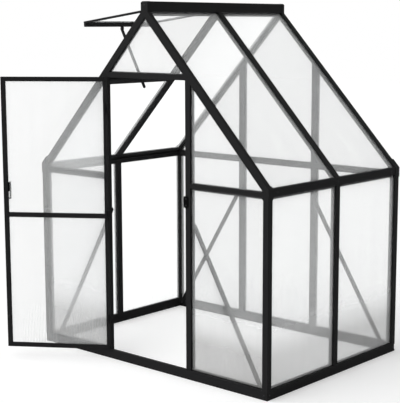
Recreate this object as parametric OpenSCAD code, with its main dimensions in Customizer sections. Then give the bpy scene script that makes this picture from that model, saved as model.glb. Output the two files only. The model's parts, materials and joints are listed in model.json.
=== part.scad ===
// Walk-in hobby greenhouse: black bar frame, twin-wall panes, hinged door, roof vent.
// Millimetres. X runs along the gable, the door is on the -Y gable, Z is up.
// The origin is on the ground, in the middle of the base.

/* [Overall size] */
// Width over the side walls
width = 1850; // [1600:10:2400]
// Depth over the gable walls
depth = 1300; // [1100:10:2400]
// Height of the roof surface at the outer face of the side walls
eave_h = 1174; // [1000:2:1400]
// Height at which the two roof surfaces meet
apex_h = 2150; // [2100:2:2400]

/* [Base] */
// Height of the base rails
base_h = 56; // [40:1:90]
// Height of the lip that stands in front of the panes
base_lip = 12; // [6:1:18]
// Height of the plain bands along the edges of the base rails
base_band = 11; // [6:1:18]
// Depth of the hollow between those bands
base_hollow = 2; // [1:0.5:4]

/* [Bars] */
// Width of the outer cap of a mullion, door post or middle rafter
cap_w = 37; // [30:1:60]
// Thickness of the outer cap of every bar
cap_t = 13; // [8:0.5:18]
// Thickness of the web behind a cap
web_t = 10; // [6:0.5:14]
// Depth of the web behind a cap
web_d = 24; // [18:1:34]
// Width of each face of a corner post
post_w = 37; // [30:1:50]
// Solid core between the two panes at a corner
core_w = 20; // [20:0.5:26]
// How far the gable bars stand back from the corner posts
setback = 8; // [8:1:30]
// Face of a gable rafter, seen from the front
rafter_face = 43; // [32:1:60]
// Width of a gable rafter's cap on the roof
rafter_cap_w = 28; // [26:1:50]
// Face of the eave rails
eave_face = 43; // [34:1:60]
// Width of the lip that keeps the roof panes from sliding down
eave_lip = 5; // [4:0.5:16]
// Width of the ledge under the lower edge of the roof panes
eave_ledge = 6; // [4:0.5:12]
// Height of the plain bands along the edges of the eave rails
eave_band = 13; // [8:1:16]
// Depth of the hollow between those bands
eave_hollow = 1.5; // [1:0.5:3]
// Height of the gable rails at eave level
rail_h = 26; // [18:1:40]
// How far a gable rail reaches down over the panes below it
rail_lap = 3; // [3:0.5:8]

/* [Eave connectors] */
// How much wider than a corner post a connector is on the gable
connector_lap = 6; // [4:1:20]
// How much wider than a corner post a connector is on the side wall
connector_side_lap = 5; // [2:1:20]
// How far a connector reaches down below the eave rails
connector_drop = 16; // [12:1:50]
// How far a connector stands out beyond the bars that it joins
connector_proud = 2; // [1:0.5:5]
// Rounding of a connector's lower corners
connector_round = 9; // [4:1:14]

/* [Ridge] */
// Width of the ridge cap
ridge_w = 53; // [48:1:90]
// Height of the ridge cap's side faces
ridge_side_h = 50; // [30:1:80]
// Rounding of the ridge cap's upper edges
ridge_round = 10; // [4:1:20]
// Length of the caps on the ends of the ridge
ridge_end_l = 32; // [16:1:60]
// How far those caps stand out beyond the ridge
ridge_end_proud = 1; // [0.5:0.5:3]
// Rounding of the upper edge of those caps
ridge_end_round = 11; // [4:1:15]

/* [Panes] */
// Thickness of the twin-wall panes
pane_t = 6; // [4:0.5:6]
// Clearance round a pane
pane_gap = 0.3; // [0.2:0.1:1]

/* [Doorway] */
// Clear width between the door posts
doorway_w = 630; // [560:2:760]
// Height of the lintel's lower edge above the outer shoulders of the door posts
lintel_rise = 21.7; // [5:0.1:30]
// Height of the lintel
lintel_h = 31; // [24:1:40]

/* [Door] */
// Thickness of the door leaf
leaf_t = 14; // [12:1:26]
// Width of the door's stile on the latch side
stile_w = 28; // [22:1:40]
// Width of the door's stile on the hinge side
hinge_stile_w = 12; // [12:1:40]
// Height of the door's rails
door_rail_h = 26; // [22:1:40]
// Height of the middle of the door's middle rail
mid_rail_z = 898; // [700:2:1100]
// Clearance between the door and the frame
door_gap = 5; // [5:0.5:10]
// How far the door laps over the latch post
door_lap = 23; // [4:0.5:26]
// How far the door laps over the lintel
door_top_lap = 4; // [2:0.5:12]
// Angle at which the door stands open
door_open = 145.3; // [0:0.1:160]
// Depth of the grooves that hold the door's panes
groove_d = 8; // [5:0.5:12]

/* [Hinges] */
// Radius of the hinge pins
pin_r = 2.5; // [2:0.5:4]
// Radius of the hinge knuckles
knuckle_r = 4.5; // [4:0.5:9]
// Radial clearance of the pins
pin_clear = 0.05; // [0.02:0.01:0.1]
// How far the hinge line stands inside the edge of the doorway
hinge_in = 5; // [0:0.5:6]
// Height of one hinge
hinge_h = 60; // [40:2:100]
// Height of the knuckle on the door
hinge_mid_h = 28; // [16:1:34]
// Clearance between the knuckles
hinge_gap = 0.5; // [0.3:0.1:1]
// Clearance between a knuckle and the edge of the door
knuckle_gap = 0.5; // [0.5:0.1:3]
// Thickness of the hinge plates
plate_t = 3; // [2:0.5:4]
// Bare edge of the stile beside a hinge plate
plate_inset = 4; // [2:0.5:10]
// Distance from the ends of the door to the middle of the end hinges
hinge_inset = 190; // [120:5:300]

/* [Handle and catch] */
// Height of the middle of the handle and of the catch
handle_z = 1046; // [900:1:1150]
// Length of the handle
handle_l = 105; // [70:1:140]
// Width of the handle
handle_w = 10; // [8:1:14]
// Thickness of the handle's grip
handle_t = 8; // [6:0.5:12]
// Gap for the fingers behind the handle
handle_room = 20; // [16:1:40]
// Length of the latch plate on the inside of the door
latch_l = 58; // [40:1:80]
// Width of the latch plate
latch_w = 12; // [8:1:18]
// Length of the catch on the latch post
catch_l = 70; // [50:1:110]
// How far the catch stands into the doorway
catch_d = 13; // [6:1:14]

/* [Back wall] */
// Distance from the middle to each back mullion
back_mullion_x = 305; // [240:1:420]

/* [Braces] */
// Width of the wall braces
brace_w = 28; // [20:1:40]
// Thickness of the wall braces
brace_t = 3; // [2:0.5:6]
// Height of the rims along both edges of a brace
brace_rim = 5; // [3:0.5:10]
// Height of the upper end of the front braces
front_brace_top = 930; // [700:5:1100]
// Distance from the outer wall face to the lower end of the front braces
front_brace_foot = 73; // [56:1:120]
// Height of the upper end of the back braces
back_brace_top = 936; // [700:2:1100]
// Distance from the outer wall face to the lower end of the back braces
back_brace_foot = 58; // [56:1:120]

/* [Roof vent] */
// Length of the vent from its hinge edge to its free edge
vent_len = 515; // [400:5:700]
// How far the open vent droops below level
vent_drop = 7.1; // [0:0.1:30]
// Width of the vent's bars
vent_bar_w = 20; // [14:1:30]
// Thickness of the vent's side bars
vent_bar_t = 12; // [10:0.5:20]
// Thickness of the vent's bars over its pane
vent_skin = 1.5; // [1:0.5:3]
// Height of the vent's free rail
vent_rail_h = 33; // [20:1:40]
// How far the vent laps over the rafters beside it
vent_lap = 22; // [8:1:28]
// Distance from the apex to the middle of the vent sill, along the slope
sill_at = 578; // [450:2:800]
// Width of the vent sill's cap
sill_w = 30; // [24:1:44]
// Width of the stay
stay_w = 21; // [12:1:24]
// Thickness of the stay
stay_t = 4; // [3:0.5:6]
// Length of the stay past the sill
stay_tail = 52; // [30:1:120]
// Radius of the holes in the stay
stay_hole_r = 3.5; // [2.5:0.5:5]
// How far the stay's pin reaches past the stay
stay_pin_end = 1; // [0.5:0.5:3]
// Thickness of the lug that carries the stay
lug_t = 6; // [4:0.5:10]
// Width of the lug on each side of the stay
lug_rim = 2; // [1:0.5:5]

/* [Hidden] */
$fn = 48;

// How far a cut reaches past the faces that it opens
past = 1;

black = [0.09, 0.09, 0.10];
frosted = [0.93, 0.95, 0.95, 0.45];

// Half sizes of the footprint
half_w = width / 2;
half_d = depth / 2;

// Roof slope: angle, length from eave to apex, and the height lost per unit of offset
roof_a = atan2(apex_h - eave_h, half_w);
slope_len = norm([half_w, apex_h - eave_h]);
roof_drop = 1 / cos(roof_a);

// Depths measured inwards from the outer wall faces: seat of the panes, inner face of the bars
side_seat = cap_t;
side_in = cap_t + web_d;
gable_seat = setback + cap_t;
gable_in = gable_seat + web_d;

// Seat of the panes in the base
base_seat = base_h - base_lip;

// Underside of the eave rails, the lower end of the connectors, and the gable rails at that level
eave_under = eave_h - eave_face;
connector_z = eave_under - connector_drop;
connector_w = post_w + connector_lap;
connector_d = post_w + connector_side_lap;
rail_z = eave_under - rail_lap;
rail_web_top = eave_under + web_t;

// Door posts, their outer shoulders under the rafters, and the lintel
door_post_x = doorway_w / 2 + cap_w / 2;
shoulder_z = apex_h - (door_post_x + cap_w / 2) * tan(roof_a) - rafter_face * roof_drop;
lintel_z = shoulder_z + lintel_rise;
lintel_web_top = lintel_z + (lintel_h + web_t) / 2;

// Closed door leaf
hinge_x = -doorway_w / 2 + hinge_in;
leaf_x0 = hinge_x + knuckle_r + knuckle_gap;
leaf_x1 = doorway_w / 2 + door_lap;
leaf_in = -(half_d - setback) - door_gap;
leaf_out = leaf_in - leaf_t;
leaf_z0 = base_h + door_gap;
leaf_z1 = lintel_z + door_top_lap;
hinge_y = leaf_out + knuckle_r / 2;
hinge_zs = [leaf_z0 + hinge_inset, (leaf_z0 + leaf_z1) / 2, leaf_z1 - hinge_inset];

// Vent: bay that it closes, its hinge edge and the angle of its stay
vent_y0 = -(half_d - setback) + vent_lap;
vent_y1 = 0;
vent_edge = ridge_w / 2 + ridge_end_proud;
vent_hinge = [
    -vent_edge - pane_gap - vent_bar_t / 2 * sin(vent_drop),
    apex_h - vent_edge * tan(roof_a) + pane_gap + vent_bar_t / 2
];
vent_mid_y = (vent_y0 + vent_y1) / 2;
lug_w = stay_w + 2 * lug_rim;
lug_drop = vent_rail_h - vent_bar_t + lug_w / 2;
stay_top = vent_hinge + (vent_len - vent_bar_w / 2) * [-cos(vent_drop), -sin(vent_drop)]
    + (vent_bar_t / 2 + lug_drop) * [sin(vent_drop), -cos(vent_drop)];

// The stay clears every upper corner of the sill's section: distance from the apex, depth
sill_corners = [
    [sill_at - sill_w / 2, 0], [sill_at - sill_w / 2, cap_t], [sill_at - web_t / 2, side_in]
];
function on_left_roof(p) =
    [0, apex_h] + p[0] * [-cos(roof_a), -sin(roof_a)] + p[1] * [sin(roof_a), -cos(roof_a)];
function stay_run(p) = on_left_roof(p) - stay_top;
function stay_angle(run) =
    atan2(run[1], run[0]) + asin((stay_w / 2 + pane_gap) / norm(run));
stay_a = max([for (p = sill_corners) stay_angle(stay_run(p))]);
stay_len = norm(stay_run(sill_corners[2])) + stay_tail;
stay_holes = 6;
stay_pitch = stay_len / stay_holes;

// T section in X and Y: the cap starts at y = 0, the web points to +y
module tee(w, cap = cap_t, web = web_t, deep = web_d) {
    translate([-w / 2, 0]) square([w, cap]);
    translate([-web / 2, cap]) square([web, deep]);
}

// Corner section: two faces, each with a seat for a pane behind it
module corner(face_x, seat_y, face_y, seat_x, core) {
    square([face_x, seat_y]);
    square([seat_x, face_y]);
    square(core);
}

// Outline of the gable at an offset below the roof surface, extruded through the whole depth
module under_roof(offset_in) {
    drop = offset_in * roof_drop;
    translate([0, half_d, 0]) rotate([90, 0, 0]) linear_extrude(depth)
        polygon([
            [-half_w, 0], [half_w, 0], [half_w, eave_h - drop],
            [0, apex_h - drop], [-half_w, eave_h - drop]
        ]);
}

// The half of space on the right of the ridge
module right_of_ridge() {
    intersection() {
        children();
        translate([0, -half_d, 0]) cube([width, depth, apex_h + ridge_w]);
    }
}

// Right roof slope: x runs up the slope from the eave, z is the depth below the roof surface
module on_right_slope() {
    translate([half_w, 0, eave_h]) rotate([0, 180 + roof_a, 0]) children();
}

// Extrudes a section along the slope: section x becomes Y, section y becomes depth
module along_slope(from, to) {
    on_right_slope() translate([from, 0, 0]) rotate([90, 0, 90]) linear_extrude(to - from) children();
}

// Plate standing in the gable plane, from one depth to another, on the -Y side
module gable_plate(depth_in, thick) {
    translate([0, -half_d + depth_in + thick, 0]) rotate([90, 0, 0]) linear_extrude(thick) children();
}

module left() { mirror([1, 0, 0]) children(); }
module back() { mirror([0, 1, 0]) children(); }

// Frame

// Box over the footprint, drawn in from the side walls and the gables, from z0 up to z1
module footprint(in_x, in_y, z0, z1) translate([-half_w + in_x, -half_d + in_y, z0])
    cube([width - 2 * in_x, depth - 2 * in_y, z1 - z0]);

// Base rails: a lip in front of the panes, and a shallow hollow along the outer faces
module base_frame() color(black) difference() {
    footprint(0, 0, 0, base_h);
    footprint(side_in, gable_in, -past, base_h + past);
    footprint(side_seat, gable_seat, base_seat, base_h + past);
    difference() {
        footprint(-past, -past, base_band, base_h - base_band);
        footprint(base_hollow, base_hollow, 0, base_h);
    }
}

module corner_post() color(black)
    translate([half_w, -half_d, base_h]) mirror([1, 0, 0])
        linear_extrude(connector_z - base_h) corner(post_w, gable_seat, post_w, side_seat, core_w);

module post_front_right() corner_post();
module post_front_left() left() corner_post();
module post_back_right() back() corner_post();
module post_back_left() back() left() corner_post();

// Upright tee from the pane seat to z1; its cap stands on the lip of the base
module upright(z1) difference() {
    translate([0, 0, base_seat]) linear_extrude(z1 - base_seat) tee(cap_w);
    translate([-cap_w, -past, base_seat - past]) cube([2 * cap_w, cap_t + past, base_lip + past]);
}

module side_mullion_right() color(black) translate([half_w, 0, 0]) rotate(90) upright(eave_under);
module side_mullion_left() left() side_mullion_right();

// Upright bar of a gable wall, from the base to the rafters
module gable_upright(x) color(black) intersection() {
    translate([x, -half_d + setback, 0]) upright(apex_h);
    under_roof(rafter_face);
}

module door_post_hinge() gable_upright(-door_post_x);
module door_post_latch() gable_upright(door_post_x);
module back_mullion_left() back() gable_upright(-back_mullion_x);
module back_mullion_right() back() gable_upright(back_mullion_x);

// Outline that stands out by w from an edge at x = 0, l long, with round free corners
module rounded_tab(w, l) intersection() {
    translate([-w, -l / 2]) square([w, l]);
    union() {
        for (side = [-1, 1]) translate([0, side * (l / 2 - w)]) circle(w);
        translate([-w, w - l / 2]) square([w, l - 2 * w]);
    }
}

// Catch on the doorway side of the latch post, as deep as the post's cap
module door_catch() color(black) gable_plate(setback, cap_t)
    translate([doorway_w / 2, handle_z]) rounded_tab(catch_d, catch_l);

// Level bar of a gable wall between two uprights, coped under the rafters; the web starts at web_z
module gable_rail(x0, x1, z0, h, web_z, web_x0, web_x1) color(black) intersection() {
    union() {
        gable_plate(setback, cap_t) translate([x0, z0]) square([x1 - x0, h]);
        gable_plate(gable_seat, web_d) translate([web_x0, web_z]) square([web_x1 - web_x0, web_t]);
    }
    under_roof(rafter_face);
}

module door_lintel() gable_rail(
    -doorway_w / 2, doorway_w / 2, lintel_z, lintel_h, lintel_web_top - web_t,
    -door_post_x + web_t / 2, door_post_x - web_t / 2
);

// Rail from the eave connector to an upright at x
module outer_rail(x) gable_rail(
    x + cap_w / 2, half_w - connector_w, rail_z, rail_h, eave_under,
    x + web_t / 2, half_w - side_in
);

module front_rail_right() outer_rail(door_post_x);
module front_rail_left() left() outer_rail(door_post_x);
module back_rails() back() {
    outer_rail(back_mullion_x);
    left() outer_rail(back_mullion_x);
    gable_rail(
        -back_mullion_x + cap_w / 2, back_mullion_x - cap_w / 2, rail_z, rail_h, eave_under,
        -back_mullion_x + web_t / 2, back_mullion_x - web_t / 2
    );
}

// Section of the eave rail: outer face with its hollow, lip, seat and ledge of the roof panes,
// and the flange over the side panes
function eave_section() =
    let (
        up = [cos(roof_a), sin(roof_a)],
        inward = [sin(roof_a), -cos(roof_a)],
        lip = [0, eave_h] + eave_lip * up,
        seat = lip + (cap_t + pane_t + pane_gap) * inward,
        ledge = seat + eave_ledge * up,
        flange = eave_under + web_t
    )
    [
        [0, eave_under],
        [0, eave_under + eave_band], [eave_hollow, eave_under + eave_band],
        [eave_hollow, eave_h - eave_band], [0, eave_h - eave_band],
        [0, eave_h], lip, seat, ledge, [ledge[0], flange],
        [side_in, flange], [side_in, eave_under]
    ];

module eave_bar() translate([half_w, half_d, 0]) rotate([90, 0, 0])
    linear_extrude(depth) mirror([1, 0]) polygon(eave_section());

module eave_rail_right() color(black) difference() {
    eave_bar();
    connector_body();
    back() connector_body();
}
module eave_rail_left() left() eave_rail_right();

// Outline of one face of a connector, from its outer edge at x = 0, with a rounded lower corner
module connector_face(w) {
    square([w - connector_round, connector_round]);
    translate([0, connector_round]) square([w, slope_len]);
    translate([w - connector_round, connector_round]) circle(connector_round);
}

// Moulded corner piece between a post, an eave rail and a gable rafter, cut off over the roof
module connector_body() {
    proud = connector_proud;
    w = connector_w + proud;
    d = connector_d + proud;
    intersection() {
        translate([half_w + proud, -half_d - proud, connector_z]) mirror([1, 0, 0]) intersection() {
            linear_extrude(slope_len)
                corner(w, gable_seat + proud, d, side_seat + proud, core_w + proud);
            translate([0, d, 0]) rotate([90, 0, 0]) linear_extrude(d) connector_face(w);
            rotate([90, 0, 90]) linear_extrude(w) connector_face(d);
        }
        translate([0, half_d, 0]) rotate([90, 0, 0]) linear_extrude(2 * depth) polygon([
            [0, 0], [half_w + proud, 0],
            [half_w + proud, eave_h + proud * (roof_drop - tan(roof_a))],
            [0, apex_h + proud * roof_drop]
        ]);
    }
}

module eave_connector() difference() {
    connector_body();
    roof_pane(slope_len, pane_gap);
}

module eave_connectors() color(black) {
    eave_connector();
    left() eave_connector();
    back() eave_connector();
    back() left() eave_connector();
}

// Ridge: rounded top, underside seated on both roof surfaces, grown outwards by proud
module ridge_section(proud = 0) {
    t = tan(roof_a);
    top = apex_h - ridge_w / 2 * t + ridge_side_h;
    inner = ridge_w / 2 - ridge_round;
    radius = ridge_round + proud;
    edge = inner + radius;
    polygon([
        [-edge, apex_h - edge * t], [0, apex_h], [edge, apex_h - edge * t], [edge, top],
        [inner, top], [inner, top + radius], [-inner, top + radius], [-inner, top], [-edge, top]
    ]);
    for (side = [-inner, inner]) translate([side, top]) circle(radius);
}

ridge_len = depth - 2 * setback;
module ridge_cap() color(black)
    translate([0, ridge_len / 2 - ridge_end_l, 0]) rotate([90, 0, 0])
        linear_extrude(ridge_len - 2 * ridge_end_l) ridge_section();

// Cap on one end of the ridge: the ridge's section, rounded along its upper end edge
module ridge_end() translate([0, -ridge_len / 2, 0]) intersection() {
    high = apex_h - ridge_w / 2 * tan(roof_a) + ridge_side_h + ridge_round + ridge_end_proud;
    r = ridge_end_round;
    translate([0, ridge_end_l, 0]) rotate([90, 0, 0])
        linear_extrude(ridge_end_l) ridge_section(ridge_end_proud);
    translate([-ridge_w, 0, 0]) rotate([90, 0, 90]) linear_extrude(2 * ridge_w) {
        square([ridge_end_l, high - r]);
        translate([r, 0]) square([ridge_end_l - r, high]);
        translate([r, high - r]) circle(r);
    }
}
module ridge_ends() color(black) {
    ridge_end();
    back() ridge_end();
}

// Rafters are mitred under the ridge and coped over the eave rail and the connectors
module rafter() color(black) difference() {
    right_of_ridge() along_slope(eave_lip, slope_len + cap_w + rafter_face) children();
    eave_bar();
    connector_body();
    back() connector_body();
}

module gable_rafter() rafter()
    translate([-half_d + setback, 0])
        corner(rafter_cap_w, cap_t, rafter_face, cap_t, core_w);

module rafter_front_right() gable_rafter();
module rafter_front_left() left() gable_rafter();
module rafter_back_right() back() gable_rafter();
module rafter_back_left() back() left() gable_rafter();
module rafter_mid_right() rafter() tee(cap_w);
module rafter_mid_left() left() rafter_mid_right();

module vent_sill() color(black) left() on_right_slope() {
    y0 = -half_d + setback + rafter_cap_w;
    translate([slope_len - sill_at, -cap_w / 2, 0]) rotate([90, 0, 0])
        linear_extrude(-cap_w / 2 - y0) tee(sill_w);
}

// Brace in a gable wall, from an upright at x and a height down to the base near the corner;
// a flat strip with round ends, stiffened by a rim along each edge
module brace(x, top_z, foot) color(black) {
    run = [half_w - foot - x, base_seat - brace_w / 2 - top_z];
    long = norm(run);
    gable_plate(gable_in, brace_t) translate([x, top_z]) rotate(atan2(run[1], run[0])) {
        translate([0, -brace_w / 2]) square([long, brace_w]);
        circle(d = brace_w);
        translate([long, 0]) circle(d = brace_w);
    }
    gable_plate(gable_in, brace_t + brace_rim) translate([x, top_z]) rotate(atan2(run[1], run[0]))
        for (side = [-brace_w / 2, brace_w / 2 - brace_t])
            translate([brace_w, side]) square([long - 2 * brace_w, brace_t]);
}

module front_braces() {
    brace(door_post_x, front_brace_top, front_brace_foot);
    left() brace(door_post_x, front_brace_top, front_brace_foot);
}
module back_braces() back() {
    brace(back_mullion_x, back_brace_top, back_brace_foot);
    left() brace(back_mullion_x, back_brace_top, back_brace_foot);
}

// Panes

module side_pane(y_sign) translate([half_w - side_seat - pane_t, 0, base_seat]) {
    y0 = web_t / 2 + pane_gap;
    y1 = half_d - max(core_w, gable_seat) - pane_gap;
    mirror([0, y_sign < 0 ? 1 : 0, 0]) translate([0, y0, 0])
        cube([pane_t, y1 - y0, eave_under - base_seat]);
}

module right_wall_panes() color(frosted) {
    side_pane(1);
    side_pane(-1);
}
module left_wall_panes() left() right_wall_panes();

// Pane of the lower gable wall from x0 to x1
module wall_pane(x0, x1) gable_plate(gable_seat, pane_t)
    translate([x0, base_seat]) square([x1 - x0, eave_under - base_seat]);

// Pane of the upper gable wall from x0 to x1, standing on z0 and cut to the roof
module gable_pane(x0, x1, z0) intersection() {
    gable_plate(gable_seat, pane_t) translate([x0, z0]) square([x1 - x0, apex_h - z0]);
    under_roof(core_w + pane_gap);
}

module corner_wall_pane(x) wall_pane(x + web_t / 2 + pane_gap, half_w - core_w - pane_gap);
module corner_gable_pane(x)
    gable_pane(x + web_t / 2 + pane_gap, half_w - side_in - pane_gap, rail_web_top);

module front_wall_panes() color(frosted) {
    corner_wall_pane(door_post_x);
    left() corner_wall_pane(door_post_x);
}
module front_gable_panes() color(frosted) {
    inner = door_post_x - web_t / 2 - pane_gap;
    corner_gable_pane(door_post_x);
    left() corner_gable_pane(door_post_x);
    gable_pane(-inner, inner, lintel_web_top);
}
module back_wall_panes() color(frosted) back() {
    inner = back_mullion_x - web_t / 2 - pane_gap;
    corner_wall_pane(back_mullion_x);
    left() corner_wall_pane(back_mullion_x);
    wall_pane(-inner, inner);
}
module back_gable_panes() color(frosted) back() {
    inner = back_mullion_x - web_t / 2 - pane_gap;
    corner_gable_pane(back_mullion_x);
    left() corner_gable_pane(back_mullion_x);
    gable_pane(-inner, inner, rail_web_top);
}

// Roof pane of the front bay, from the eave lip up to a distance along the slope, grown by a gap
module roof_pane(to, gap = 0) on_right_slope() {
    y0 = -half_d + setback + core_w + pane_gap - gap;
    y1 = -web_t / 2 - pane_gap + gap;
    from = eave_lip + pane_gap - gap;
    translate([from, y0, cap_t - gap]) cube([to - from, y1 - y0, pane_t + 2 * gap]);
}

roof_pane_top = slope_len - (cap_t + pane_t) * tan(roof_a) - pane_gap;
module roof_panes_right() color(frosted) {
    roof_pane(roof_pane_top);
    back() roof_pane(roof_pane_top);
}
module roof_panes_left() color(frosted) left() {
    roof_pane(slope_len - sill_at - web_t / 2 - pane_gap);
    back() roof_pane(roof_pane_top);
}

// Roof vent, open: x runs from the hinge edge to the free edge, z is up

module on_vent() translate([vent_hinge[0], 0, vent_hinge[1]])
    mirror([1, 0, 0]) rotate([0, vent_drop, 0]) children();

module vent_frame() color(black) on_vent() {
    vent_w = vent_y1 - vent_y0;
    difference() {
        translate([0, vent_y0, -vent_bar_t / 2]) cube([vent_len, vent_w, vent_bar_t]);
        translate([vent_bar_w, vent_y0 + vent_bar_w, -vent_bar_t])
            cube([vent_len - 2 * vent_bar_w, vent_w - 2 * vent_bar_w, 2 * vent_bar_t]);
        vent_pane_body(pane_gap);
    }
    translate([vent_len - vent_bar_w, vent_y0, vent_bar_t / 2 - vent_rail_h])
        cube([vent_bar_w, vent_w, vent_rail_h - vent_bar_t]);
    translate([vent_len - vent_bar_w / 2, vent_mid_y, -vent_bar_t / 2 - lug_drop]) rotate([-90, 0, 0]) {
        cylinder(d = lug_w, h = lug_t);
        translate([-lug_w / 2, -lug_w / 2, 0]) cube([lug_w, lug_w / 2, lug_t]);
        translate([0, 0, -stay_t - stay_pin_end])
            cylinder(r = stay_hole_r - pane_gap, h = stay_t + stay_pin_end);
    }
}

module vent_pane_body(gap) {
    lap = vent_bar_w / 2;
    translate([lap - gap, vent_y0 + lap - gap, vent_bar_t / 2 - vent_skin - pane_t - gap])
        cube([vent_len - 2 * lap + 2 * gap, vent_y1 - vent_y0 - 2 * lap + 2 * gap, pane_t + 2 * gap]);
}
module vent_pane() color(frosted) on_vent() vent_pane_body(0);

module vent_stay() color(black)
    translate([stay_top[0], vent_mid_y - pane_gap, stay_top[1]]) rotate([90, 0, 0])
        linear_extrude(stay_t) rotate(stay_a) difference() {
            union() {
                circle(d = stay_w);
                translate([0, -stay_w / 2]) square([stay_len, stay_w]);
                translate([stay_len, 0]) circle(d = stay_w);
            }
            for (i = [0:stay_holes - 1]) translate([i * stay_pitch, 0]) circle(stay_hole_r);
        }

// Door: modelled closed, then turned about its hinge line to the angle at which it stands

module on_door() translate([hinge_x, hinge_y, 0]) rotate(-door_open)
    translate([-hinge_x, -hinge_y, 0]) children();

// One of the two door panes, grown by a gap
module door_pane_body(z0, z1, gap) {
    x0 = leaf_x0 + hinge_stile_w - groove_d;
    x1 = leaf_x1 - stile_w + groove_d;
    y0 = (leaf_in + leaf_out - pane_t) / 2;
    translate([x0 - gap, y0 - gap, z0 - groove_d - gap])
        cube([x1 - x0 + 2 * gap, pane_t + 2 * gap, z1 - z0 + 2 * groove_d + 2 * gap]);
}
module door_pane_bodies(gap) {
    door_pane_body(leaf_z0 + door_rail_h, mid_rail_z - door_rail_h / 2, gap);
    door_pane_body(mid_rail_z + door_rail_h / 2, leaf_z1 - door_rail_h, gap);
}

module door_stile(x, w) color(black) on_door() difference() {
    translate([x, leaf_out, leaf_z0]) cube([w, leaf_t, leaf_z1 - leaf_z0]);
    door_pane_bodies(pane_gap);
}
module door_stile_hinge() door_stile(leaf_x0, hinge_stile_w);
module door_stile_latch() door_stile(leaf_x1 - stile_w, stile_w);

module door_rails() color(black) on_door() difference() {
    for (z = [leaf_z0, mid_rail_z - door_rail_h / 2, leaf_z1 - door_rail_h])
        translate([leaf_x0 + hinge_stile_w, leaf_out, z])
            cube([leaf_x1 - stile_w - leaf_x0 - hinge_stile_w, leaf_t, door_rail_h]);
    door_pane_bodies(pane_gap);
}

module door_panes() color(frosted) on_door() door_pane_bodies(0);

// Pull handle: a grip on two feet, standing on y = 0
module pull() translate([-handle_w / 2, 0, -handle_l / 2]) difference() {
    cube([handle_w, handle_room + handle_t, handle_l]);
    translate([-past, -past, handle_t])
        cube([handle_w + 2 * past, handle_room + past, handle_l - 2 * handle_t]);
}

// Latch plate, flush with the face of the leaf
module latch_plate() {
    thick = (leaf_t - pane_t) / 2;
    translate([0, thick, 0]) rotate([90, 0, 0]) linear_extrude(thick) rounded_tab(latch_w, latch_l);
}

// The handle stands on the outer face of the upper pane and the latch plate lies on its inner face,
// both against the edge of the stile and level at the top
module door_handles() color(black) on_door()
    translate([leaf_x1 - stile_w, (leaf_in + leaf_out) / 2, handle_z]) {
        translate([-handle_w / 2, -pane_t / 2, 0]) mirror([0, 1, 0]) pull();
        translate([0, pane_t / 2, (handle_l - latch_l) / 2]) latch_plate();
    }

// Hinges: the brackets stay on the post and hold the pins, the knuckles turn with the door

module hinge_brackets() color(black)
    for (z = hinge_zs) translate([hinge_x, hinge_y, z - hinge_h / 2]) {
        face = -(half_d - setback) - hinge_y;
        end_h = (hinge_h - hinge_mid_h) / 2 - hinge_gap;
        for (z0 = [0, hinge_h - end_h]) translate([0, 0, z0]) {
            cylinder(r = knuckle_r, h = end_h);
            translate([-knuckle_r, 0, 0]) cube([knuckle_r, face, end_h]);
        }
        translate([-knuckle_r - cap_w / 2, face - plate_t, 0])
            cube([knuckle_r + cap_w / 2, plate_t, hinge_h]);
        cylinder(r = pin_r, h = hinge_h);
    }

module hinge_knuckles() color(black) on_door()
    for (z = hinge_zs) translate([hinge_x, hinge_y, z - hinge_mid_h / 2]) difference() {
        edge = leaf_x0 - hinge_x;
        face = leaf_out - hinge_y;
        union() {
            cylinder(r = knuckle_r, h = hinge_mid_h);
            translate([0, face - plate_t, 0])
                cube([edge + hinge_stile_w - plate_inset, plate_t, hinge_mid_h]);
            translate([0, face, 0]) cube([edge, -face, hinge_mid_h]);
        }
        translate([0, 0, -past]) cylinder(r = pin_r + pin_clear, h = hinge_mid_h + 2 * past);
    }

base_frame();
post_front_left();
post_front_right();
post_back_left();
post_back_right();
side_mullion_left();
side_mullion_right();
door_post_hinge();
door_post_latch();
door_catch();
door_lintel();
back_mullion_left();
back_mullion_right();
eave_rail_left();
eave_rail_right();
eave_connectors();
front_rail_left();
front_rail_right();
back_rails();
ridge_cap();
ridge_ends();
rafter_front_left();
rafter_front_right();
rafter_mid_left();
rafter_mid_right();
rafter_back_left();
rafter_back_right();
vent_sill();
front_braces();
back_braces();
left_wall_panes();
right_wall_panes();
front_wall_panes();
front_gable_panes();
back_wall_panes();
back_gable_panes();
roof_panes_left();
roof_panes_right();
vent_frame();
vent_pane();
vent_stay();
door_stile_hinge();
door_stile_latch();
door_rails();
door_panes();
door_handles();
hinge_brackets();
hinge_knuckles();
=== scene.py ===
"""Dresses the walk-in greenhouse: coated bars, fluted panes, strips, seals, fasteners and a stage."""

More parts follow.
